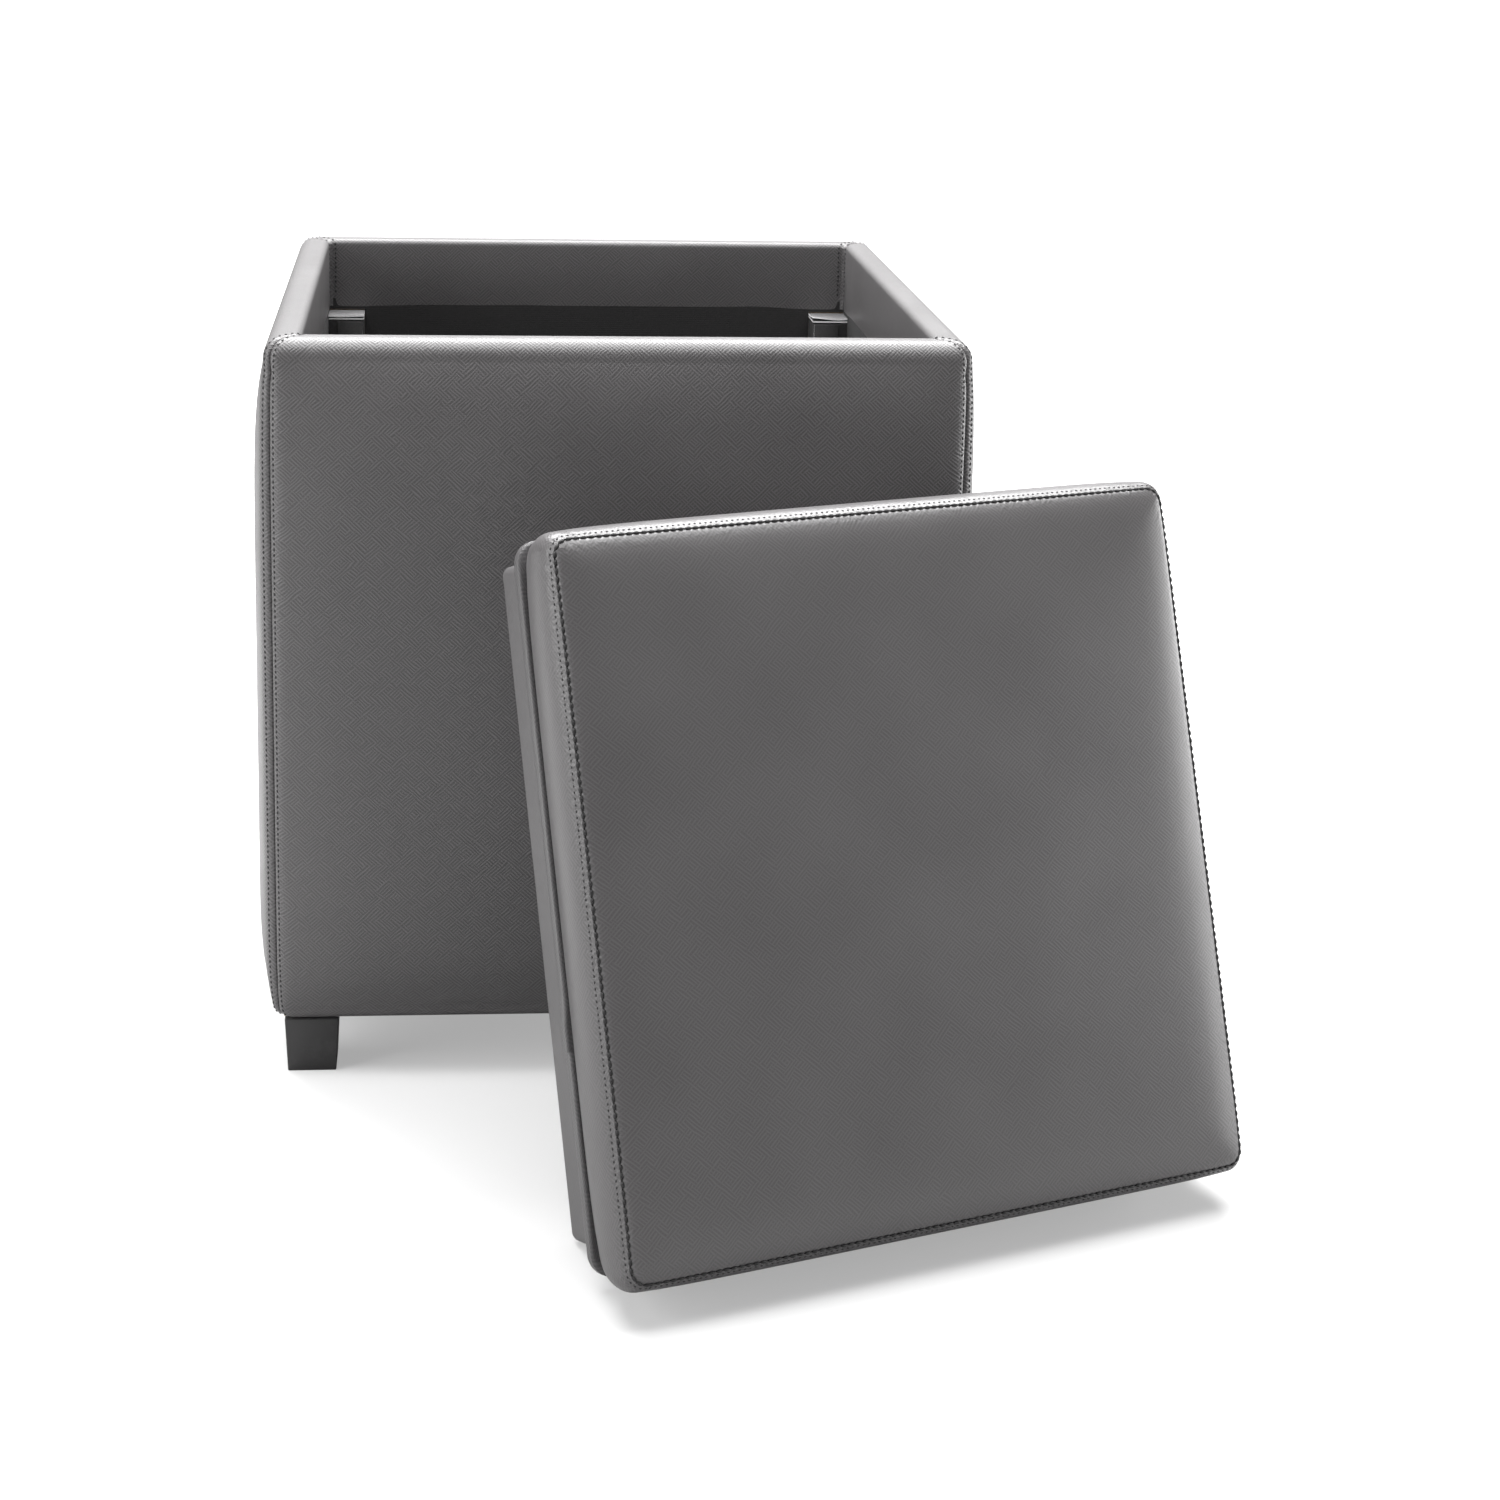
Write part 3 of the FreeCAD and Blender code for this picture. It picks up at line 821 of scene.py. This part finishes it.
profile = cap_profile()
for number, corner in enumerate(corners):
    low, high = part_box("post_cap_" + corner)
    middle = (low + high) / 2

    def cap_vertex(column, row):
        out, height = profile[row]
        across = (column / 12 - 0.5) * cap_side
        top = 1.0 if row > len(profile) / 2 else 0.0
        free = max(0.0, out / cap_side) ** 2
        bow = (0.0004, 0.0009)[number % 2] * (1 + 0.8 * math.cos(across / cap_side * 4.0 + number * 1.3))
        return Vector((across, out - cap_side / 2, height + top * bow * free))

    cap = shaped_grid("folded_cap_" + corner, 13, len(profile), cap_vertex,
                      lambda column, row: (column * 0.002, row * 0.002))
    cap.data.materials.clear()
    cap.data.materials.append(cap_material)
    cap.data.materials.append(cut_material)
    to_front = Matrix.Rotation(0.0 if corner.startswith("front") else math.pi, 4, "Z")
    cap.data.transform(Matrix.Translation(Vector((middle.x, middle.y, low.z))) @ to_front)
    add_modifier(cap, "SOLIDIFY", thickness=cap_thick, offset=0.0, material_offset_rim=1)
    outward(cap)
    smooth(cap)
    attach(cap, "box")
    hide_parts("post_cap_" + corner)


# ---- Feet
# Four moulded blocks, satin charcoal, slightly tapered, with rounded edges and a shallow step where
# they meet the box. A stud runs up from each, through the bottom board, into its post.
foot_material, foot_tree, foot_shader, foot_place = plain_material("charcoal_foot", 0.42)
foot_speckle = noise_node(foot_tree, foot_place, 1600.0, 2.0, 0.6)
foot_scuff = remap(foot_tree, noise_node(foot_tree, foot_place, 90.0, 4.0, 0.7), 0.50, 0.72)
foot_tone = math_node(foot_tree, "ADD", math_node(foot_tree, "MULTIPLY", foot_speckle, 0.5),
                      math_node(foot_tree, "MULTIPLY", foot_scuff, 0.5))
two_tones(foot_tree, foot_shader, foot_tone, (0.022, 0.0215, 0.022), (0.050, 0.048, 0.049))
foot_tree.links.new(remap(foot_tree, foot_scuff, 0.0, 1.0, 0.38, 0.55), foot_shader.inputs["Roughness"])
relief(foot_tree, foot_shader, foot_speckle, 0.00006)
foot_taper = 0.0015

for corner in corners:
    low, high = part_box("foot_" + corner)
    middle = (low + high) / 2
    foot = box_mesh("moulded_foot_" + corner, low, high)
    pick(foot)
    bpy.ops.object.mode_set(mode="EDIT")
    bpy.ops.mesh.select_all(action="DESELECT")
    bpy.ops.object.mode_set(mode="OBJECT")
    for face in foot.data.polygons:
        face.select = face.normal.z > 0.5
    bpy.ops.object.mode_set(mode="EDIT")
    bpy.ops.mesh.inset(thickness=0.0012, depth=0.0)
    bpy.ops.object.mode_set(mode="OBJECT")
    inset_top = [v for v in foot.data.vertices if v.co.z > high.z - 0.0001 and
                 abs(v.co.x - middle.x) < (high.x - low.x) / 2 - 0.0005]
    for vertex in foot.data.vertices:
        if vertex.co.z > high.z - 0.0001 and vertex not in inset_top:
            vertex.co.z = high.z - 0.0008
        if vertex.co.z < low.z + 0.0001:
            vertex.co.x -= math.copysign(foot_taper, vertex.co.x - middle.x)
            vertex.co.y -= math.copysign(foot_taper, vertex.co.y - middle.y)
    add_modifier(foot, "BEVEL", width=0.0011, segments=3, limit_method="ANGLE",
                 angle_limit=math.radians(30))
    outward(foot)
    finish_piece(foot, foot_material, "box", ("foot_" + corner,))


# ---- Lid cushion
# A block of foam on the lid's board, covered by a square top panel sewn to a boxing strip. It is
# pulled down over the board's edge, so it is crowned, and its sides bulge between the corners.
seam_half, seam_level = 0.1706, 0.0522
panel_round, seam_allowance = 0.0065, 0.0032
panel_edges = (0.0, 0.0005, 0.0011, 0.0019, 0.0030, 0.0046, 0.0070, 0.0105, 0.0150, 0.0215)
panel_shares = [0.05, 0.11, 0.18, 0.26, 0.35, 0.45, 0.56, 0.67, 0.78, 0.89, 1.0]
panel_steps = 2 * (1 + len(panel_edges) + len(panel_shares)) - 1
boxing_base = 0.1725


def rounded_square(x, y, size, radius):
    """Moves a point of a square of that half size so that the square's corners become round."""
    core = size - radius
    over_x, over_y = abs(x) - core, abs(y) - core
    if over_x <= 0 or over_y <= 0:
        return x, y
    scale = max(over_x, over_y) / math.hypot(over_x, over_y)
    return math.copysign(core + over_x * scale, x), math.copysign(core + over_y * scale, y)


def crown_level(x, y, from_edge):
    """Height of the top panel over the lid's base."""
    share_x, share_y = min(1.0, abs(x) / seam_half), min(1.0, abs(y) / seam_half)
    pillow = 0.0040 * (1 - share_x ** 2.5) * (1 - share_y ** 2.5)
    roll = 0.0044 * (1 - math.exp(-from_edge / 0.0080))
    corner = math.hypot(seam_half - abs(x), seam_half - abs(y))
    return seam_level + pillow + roll - 0.0022 * math.exp(-corner / 0.009)


def panel_offset(count):
    """Distance from the seam and depth below it for a column or row, counted from one side."""
    count = min(count, panel_steps - 1 - count)
    if count == 0:
        return 0.0, seam_allowance
    if count <= len(panel_edges):
        return panel_edges[count - 1], 0.0
    near = panel_edges[-1]
    return near + panel_shares[count - len(panel_edges) - 1] * (seam_half - near), 0.0


def panel_vertex(column, row):
    (off_x, down_x), (off_y, down_y) = panel_offset(column), panel_offset(row)
    x = math.copysign(seam_half - off_x, column - panel_steps // 2)
    y = math.copysign(seam_half - off_y, row - panel_steps // 2)
    from_edge = min(off_x, off_y)
    x, y = rounded_square(x, y, seam_half, panel_round)
    level = crown_level(x, y, from_edge)
    if max(down_x, down_y) > 0:
        x, y = rounded_square(x, y, seam_half, panel_round)
        return Vector((x * 0.9985, y * 0.9985, level - seam_allowance))
    return Vector((x, y, level - 0.0010 * math.exp(-from_edge / 0.0007)))


def panel_cut(column, row):
    off_x, down_x = panel_offset(column)
    off_y, down_y = panel_offset(row)
    x = math.copysign(seam_half - off_x + down_x, column - panel_steps // 2)
    y = math.copysign(seam_half - off_y + down_y, row - panel_steps // 2)
    return x, y


def panel_pull(column, row):
    off_x, off_y = panel_offset(column)[0], panel_offset(row)[0]
    return 0.6 * seam_pull(min(off_x, off_y)) + 0.5 * math.exp(-math.hypot(off_x, off_y) / 0.008)


def sew_to_lid(piece, material, node_name, thick=vinyl_thick):
    """Thickness, place on the lid and finish of one of its vinyl pieces."""
    add_modifier(piece, "SOLIDIFY", thickness=thick, offset=-1.0)
    outward(piece)
    piece.data.transform(lid_place)
    finish_piece(piece, material, "lid", (node_name,), 60.0)


lid_vinyl = vinyl("lid_vinyl", vinyl_grey, stroke=0.75, gloss=0.36, emboss=0.14, dark=0.76, light=1.36)
top_panel = shaped_grid("lid_cushion_top", panel_steps, panel_steps, panel_vertex, panel_cut, panel_pull)
sew_to_lid(top_panel, lid_vinyl, "lid_top_panel")

ring_stations = []
for quarter in range(4):
    ring_stations += [(quarter, False, -1 + step / 14) for step in range(29)]
    ring_stations += [(quarter, True, step / 12) for step in range(1, 12)]


def ring_place(size, radius, station):
    """Point and outward direction at a station of a rounded square."""
    quarter, at_corner, share = station
    core = size - radius
    if at_corner:
        swing = math.radians(-90 + 90 * share)
        point = Vector((core + radius * math.cos(swing), -core + radius * math.sin(swing), 0.0))
        out = Vector((math.cos(swing), math.sin(swing), 0.0))
    else:
        point, out = Vector((share * core, -size, 0.0)), Vector((0.0, -1.0, 0.0))
    turn = Matrix.Rotation(math.radians(90 * quarter), 3, "Z")
    return turn @ point, turn @ out


def spline(points, steps):
    """A smooth line through the points, with that many steps between neighbours, and its lengths."""
    line = []
    for index in range(len(points) - 1):
        before, start = Vector(points[max(index - 1, 0)]), Vector(points[index])
        end, after = Vector(points[index + 1]), Vector(points[min(index + 2, len(points) - 1)])
        for step in range(steps):
            t = step / steps
            line.append(0.5 * (2 * start + (end - before) * t
                               + (2 * before - 5 * start + 4 * end - after) * t * t
                               + (3 * start - before - 3 * end + after) * t ** 3))
    line.append(Vector(points[-1]))
    lengths = [0.0]
    for first, second in zip(line, line[1:]):
        lengths.append(lengths[-1] + (second - first).length)
    return line, lengths


def corner_share(station):
    """1 at the middle of a corner, falling to 0 a little way along the sides."""
    _, at_corner, share = station
    if at_corner:
        return 1.0
    return math.exp(-(1 - abs(share)) * 9.0)


def strip_point(line, size, radius_at, shift_at, station, row, column=0):
    """Point and outward direction of a ring strip at a station and a row of its profile."""
    share = row / (len(line) - 1)
    out, level = line[row]
    if shift_at:
        more, lift = shift_at(station, share, column)
        out, level = out + more, level + lift
    point, facing = ring_place(size + out, radius_at(share), station)
    return Vector((point.x, point.y, level)), Vector((facing.x, facing.y, 0.0))


def ring_strip(name, line, lengths, size, radius_at, shift_at=None, stations_used=None, pull_at=None):
    """A strip that follows a profile (out from the size, height) all the way round."""
    around = stations_used or ring_stations + ring_stations[:1]
    run, distance = [0.0], 0.0
    spots = [ring_place(size, radius_at(0.5), station)[0] for station in around]
    for first, second in zip(spots, spots[1:]):
        distance += (second - first).length
        run.append(distance)

    return shaped_grid(
        name, len(around), len(line),
        lambda column, row: strip_point(line, size, radius_at, shift_at, around[column], row, column)[0],
        lambda column, row: (run[column], lengths[row]),
        lambda column, row: pull_at(lengths[row], around[column]) if pull_at else 0.0)


boxing_points = ((-0.0090, 0.0090), (-0.0034, 0.0089), (-0.0014, 0.0088), (-0.0001, 0.0096), (0.0010, 0.0122),
                 (0.0027, 0.0175), (0.0042, 0.0245), (0.0047, 0.0325), (0.0041, 0.0400), (0.0023, 0.0462),
                 (-0.0003, 0.0499), (-0.0013, 0.0515), (-0.0020, 0.0508), (-0.0022, 0.0488))
boxing_line, boxing_lengths = spline(boxing_points, 3)
seam_row = 11 * 3
seam_run = boxing_lengths[seam_row]


def boxing_corner(height_share):
    """Radius of the boxing's upright corners, tighter toward the seam."""
    return 0.0140 - 0.0066 * height_share


def boxing_shift(station, height_share, column):
    """Less bulge at the corners, and the seam pulled down there."""
    tight = corner_share(station)
    middle = math.sin(math.pi * min(1.0, height_share * 1.25))
    return -0.0018 * tight * max(0.0, middle), -0.0020 * tight * max(0.0, height_share - 0.7) / 0.3


def boxing_pull(run, station):
    """Crinkles along the seam, and wider ones at its corners."""
    away = abs(run - seam_run)
    return seam_pull(away * 0.8) + 0.8 * corner_share(station) * math.exp(-away / 0.010)


boxing = ring_strip("lid_boxing_strip", boxing_line, boxing_lengths, boxing_base, boxing_corner, boxing_shift,
                    pull_at=boxing_pull)
merged(boxing)
sew_to_lid(boxing, lid_vinyl, "lid_boxing")


def ring_marks(row, pitch, start, tilt, out=0.0, up=0.0):
    """Stitch places all the way round the boxing, at one row of its profile."""
    points = [strip_point(boxing_line, boxing_base, boxing_corner, boxing_shift, station, row)
              for station in ring_stations]
    points.append(points[0])
    marks, wanted, passed = [], start, 0.0
    for (here, facing), (there, next_facing) in zip(points, points[1:]):
        length = (there - here).length
        while wanted < passed + length:
            part = (wanted - passed) / length
            spot = here.lerp(there, part)
            normal = facing.lerp(next_facing, part).normalized() * math.cos(tilt)
            normal += Vector((0, 0, math.sin(tilt)))
            spot = spot + facing * out + Vector((0, 0, up))
            marks.append((lid_place @ spot, lid_place.to_3x3() @ (there - here), lid_place.to_3x3() @ normal))
            wanted += pitch
        passed += length
    return marks


# Near-black stitches along the seam: their colour paints the shade of the seam's groove as a bold dark line,
# as well as the thread.
seam_thread_with_painted_shade = thread("seam_thread_painted_groove_shade", 0.65, (0.006, 0.006, 0.006), (0.022, 0.021, 0.022))
seam_marks = ring_marks(seam_row, 0.0039, 0.001, math.radians(75), out=-0.0003, up=0.0003)
stitch_row("lid_seam_stitches", seam_marks, "lid", 0.0032, 0.0018, seam_thread_with_painted_shade)
topstitch_marks = ring_marks(seam_row - 4, 0.0029, 0.002, math.radians(40))
stitch_row("lid_boxing_topstitch", topstitch_marks, "lid", 0.0015, 0.0010)


# ---- Lid foam
# The foam block under the cushion's cover, glued to the lid's board.
foam_block = box_mesh("lid_foam_block", (-1, -1, -1), (1, 1, 1))
pick(foam_block)
bpy.ops.object.mode_set(mode="EDIT")
bpy.ops.mesh.select_all(action="SELECT")
bpy.ops.mesh.subdivide(number_cuts=23)
bpy.ops.object.mode_set(mode="OBJECT")
foam_under = 0.0074
for vertex in foam_block.data.vertices:
    x, y, w = vertex.co
    tuck = (0.0022 if w > 0 else 0.0085) * abs(w) ** 4
    size = boxing_base - vinyl_thick - 0.0008 - tuck + 0.0018 * (1 - w * w)
    x, y = rounded_square(x * size, y * size, size, 0.030)
    edge = seam_half - max(abs(x), abs(y))
    top = crown_level(x, y, max(0.0, edge)) - vinyl_thick - 0.0006
    vertex.co = (x, y, foam_under + (top - foam_under) * (w + 1) / 2)
foam_block.data.transform(lid_place)
outward(foam_block)
finish_piece(foam_block, foam_material, "lid", ("lid_foam",), 60.0)


# ---- Lid base band
# A strip of the same vinyl wrapped round the edge of the lid's board and stapled under it. Its
# ends lap on the left side.
band_half = 0.1740
band_points = ((-0.0180, 0.0), (-0.0020, 0.0), (-0.0006, 0.0003), (0.0, 0.0012), (0.0, 0.0056),
               (-0.0003, 0.0064), (-0.0012, 0.0070), (-0.0030, 0.0071), (-0.0090, 0.0071))
band_corner = 0.0112
band_line, band_lengths = spline(band_points, 3)
left_side, lap_share, lap_length = 3, 0.34, 0.012


def band_stations():
    """All the way round from the lap on the left side, and a little past it."""
    core = band_half - band_corner
    start = (left_side, False, lap_share)
    later = [station for station in ring_stations if station > start]
    earlier = [station for station in ring_stations if station < start]
    past = (left_side, False, lap_share + lap_length / core)
    return [start] + later + earlier + [start, past]


band_around = band_stations()


def band_shift(station, height_share, column):
    """The outer end of the lap lies on the inner one."""
    raised = {len(band_around) - 1: 0.0011, len(band_around) - 2: 0.0011, len(band_around) - 3: 0.0002}
    return raised.get(column, 0.0), 0.0


base_vinyl = vinyl("lid_base_vinyl", (0.085, 0.082, 0.084), stroke=0.6)
base_band = ring_strip("lid_base_strip", band_line, band_lengths, band_half, lambda share: band_corner,
                       band_shift, stations_used=band_around)
sew_to_lid(base_band, base_vinyl, "lid_base_band",
           0.0010)


# ---- Plug
# The square frame under the lid that drops into the box's mouth: four rails wrapped in smooth
# vinyl, closed underneath with stapled black cloth.
plug_half = 0.1650
plug_points = ((-0.0150, -0.0450), (-0.0040, -0.0450), (-0.0012, -0.0446), (-0.0002, -0.0434), (0.0, -0.0415),
               (0.0, -0.0300), (0.0, -0.0150), (0.0, -0.0020), (0.0, -0.0004))
plug_line, plug_lengths = spline(plug_points, 3)
plug_vinyl = vinyl("smooth_plug_vinyl", (0.118, 0.114, 0.116), stroke=0.22, gloss=0.40, emboss=0.3)
plug_strip = ring_strip("plug_wrap", plug_line, plug_lengths, plug_half, lambda share: 0.005)
merged(plug_strip)
sew_to_lid(plug_strip, plug_vinyl, "plug_cover")

lid_cloth_width = 2 * plug_half - 0.006
face_down = Matrix.Translation((0, 0, -0.0450)) @ Matrix.Rotation(math.pi, 4, "X")
lid_cloth = loose_sheet("lid_underside_dust_cloth", lid_cloth_width, lid_cloth_width, lid_place @ face_down,
                        0.0004, sag=0.0010)
finish_piece(lid_cloth, lining_material, "lid", ("lid_underside_cloth",))


# ---- Boards, rails and fixings
# Birch plywood boards and lid board, softwood rails, and zinc-plated screws, staples and studs.
def wood(name, dark, light, along, fine):
    """Grain of long fibres along an axis, with wider rings."""
    material, tree, shader, place = plain_material(name, 0.62)
    stretch = tree.nodes.new("ShaderNodeMapping")
    stretch.inputs["Scale"].default_value = along
    tree.links.new(place, stretch.inputs["Vector"])
    fibres = noise_node(tree, stretch.outputs[0], fine, 4.0, 0.6, 0.3)
    rings = noise_node(tree, stretch.outputs[0], fine / 7, 2.0, 0.5, 0.8)
    two_tones(tree, shader, math_node(tree, "ADD", math_node(tree, "MULTIPLY", fibres, 0.5),
                                      math_node(tree, "MULTIPLY", rings, 0.5)), dark, light)
    relief(tree, shader, fibres, 0.0002)
    return material


plywood = wood("birch_plywood", (0.36, 0.25, 0.15), (0.66, 0.52, 0.36), (1.0, 1.0, 0.08), 160.0)
softwood = wood("pine_rail", (0.42, 0.28, 0.15), (0.72, 0.56, 0.37), (0.08, 0.2, 1.0), 140.0)
zinc, zinc_tree, zinc_shader, zinc_place = plain_material("zinc_plated_steel", 0.35, 1.0)
zinc_cloud = noise_node(zinc_tree, zinc_place, 500.0, 3.0)
two_tones(zinc_tree, zinc_shader, zinc_cloud, (0.45, 0.45, 0.47), (0.66, 0.66, 0.65))
zinc_tree.links.new(remap(zinc_tree, zinc_cloud, 0.3, 0.7, 0.28, 0.45), zinc_shader.inputs["Roughness"])

for node_name in frame["nodes"]:
    if node_name.endswith("_board"):
        kept_material = plywood
    elif node_name.startswith("plug_rail"):
        kept_material = softwood
    elif node_name.endswith(("screws", "staples", "studs")):
        kept_material = zinc
    else:
        continue
    kept = bpy.data.objects[node_name]
    for kept_slot in kept.material_slots:
        kept_slot.link = "OBJECT"
        kept_slot.material = kept_material
